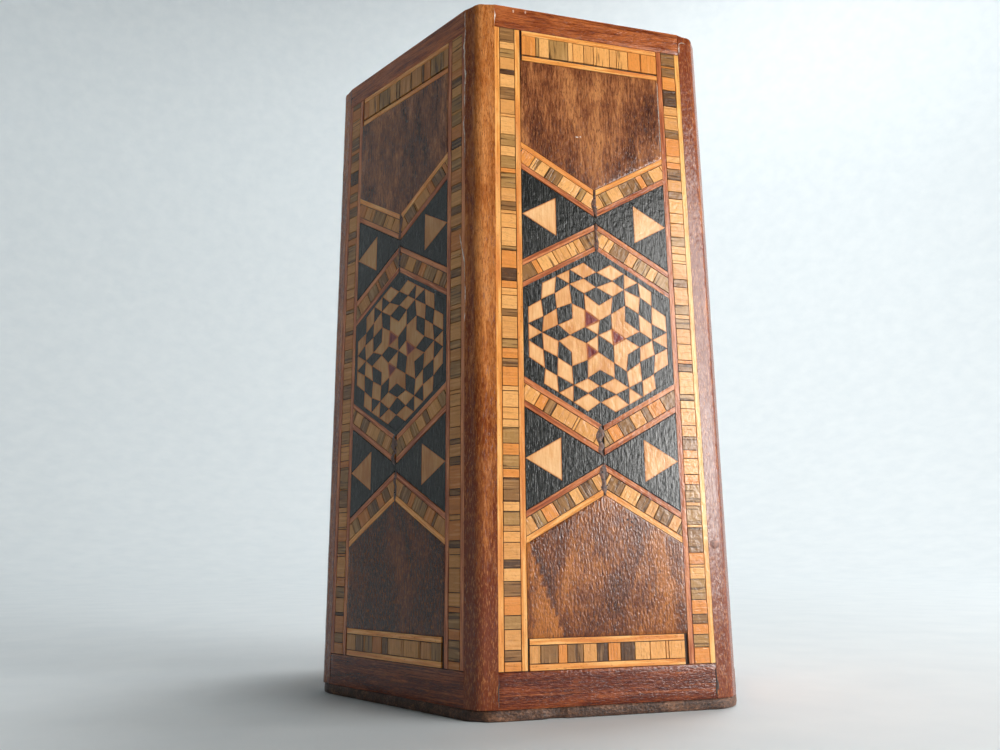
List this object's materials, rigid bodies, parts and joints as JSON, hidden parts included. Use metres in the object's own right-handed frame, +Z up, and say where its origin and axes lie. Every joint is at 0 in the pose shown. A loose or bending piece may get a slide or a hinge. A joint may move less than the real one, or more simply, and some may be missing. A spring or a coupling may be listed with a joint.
{
  "type": "inlaid pencil holder",
  "caption": "Hexagonal wooden pencil pot, open at the top, with rounded corner beads and sides of banding, crossings and a hexagonal mosaic rosette.",
  "frame": {"origin": "middle of the underside of the base board", "axes": "+Z up along the pot's axis, -Y out of the front side, +X to the right of the front side, through a corner of the hexagon"},
  "size_m": [0.0724, 0.064, 0.105],
  "materials": {
    "base_wood": "dark, rough sawn edge",
    "carcass_wood": "stained dark, satin",
    "bead_wood": "orange brown, lacquered",
    "rail_wood": "red brown, lacquered",
    "banding": "tan and orange strips and blocks, lacquered",
    "veneer": "dark walnut, glossy lacquer",
    "black_inlay": "black dyed wood with tan banding, lacquered",
    "mosaic": "light, black and plum tiles, lacquered"
  },
  "bodies": {
    "root": {"base_board": "base_wood", "wall_board_1": "carcass_wood", "wall_board_2": "carcass_wood", "wall_board_3": "carcass_wood", "wall_board_4": "carcass_wood", "wall_board_5": "carcass_wood", "wall_board_6": "carcass_wood", "corner_bead_1": "bead_wood", "corner_bead_2": "bead_wood", "corner_bead_3": "bead_wood", "corner_bead_4": "bead_wood", "corner_bead_5": "bead_wood", "corner_bead_6": "bead_wood", "bottom_rail_1": "rail_wood", "bottom_rail_2": "rail_wood", "bottom_rail_3": "rail_wood", "bottom_rail_4": "rail_wood", "bottom_rail_5": "rail_wood", "bottom_rail_6": "rail_wood", "top_rail_1": "rail_wood", "top_rail_2": "rail_wood", "top_rail_3": "rail_wood", "top_rail_4": "rail_wood", "top_rail_5": "rail_wood", "top_rail_6": "rail_wood", "border_banding_1": "banding", "border_banding_2": "banding", "border_banding_3": "banding", "border_banding_4": "banding", "border_banding_5": "banding", "border_banding_6": "banding", "upper_veneer_1": "veneer", "upper_veneer_2": "veneer", "upper_veneer_3": "veneer", "upper_veneer_4": "veneer", "upper_veneer_5": "veneer", "upper_veneer_6": "veneer", "lower_veneer_1": "veneer", "lower_veneer_2": "veneer", "lower_veneer_3": "veneer", "lower_veneer_4": "veneer", "lower_veneer_5": "veneer", "lower_veneer_6": "veneer", "crossing_panel_1": "black_inlay", "crossing_panel_2": "black_inlay", "crossing_panel_3": "black_inlay", "crossing_panel_4": "black_inlay", "crossing_panel_5": "black_inlay", "crossing_panel_6": "black_inlay", "rosette_1": "mosaic", "rosette_2": "mosaic", "rosette_3": "mosaic", "rosette_4": "mosaic", "rosette_5": "mosaic", "rosette_6": "mosaic"}
  },
  "joints": []
}
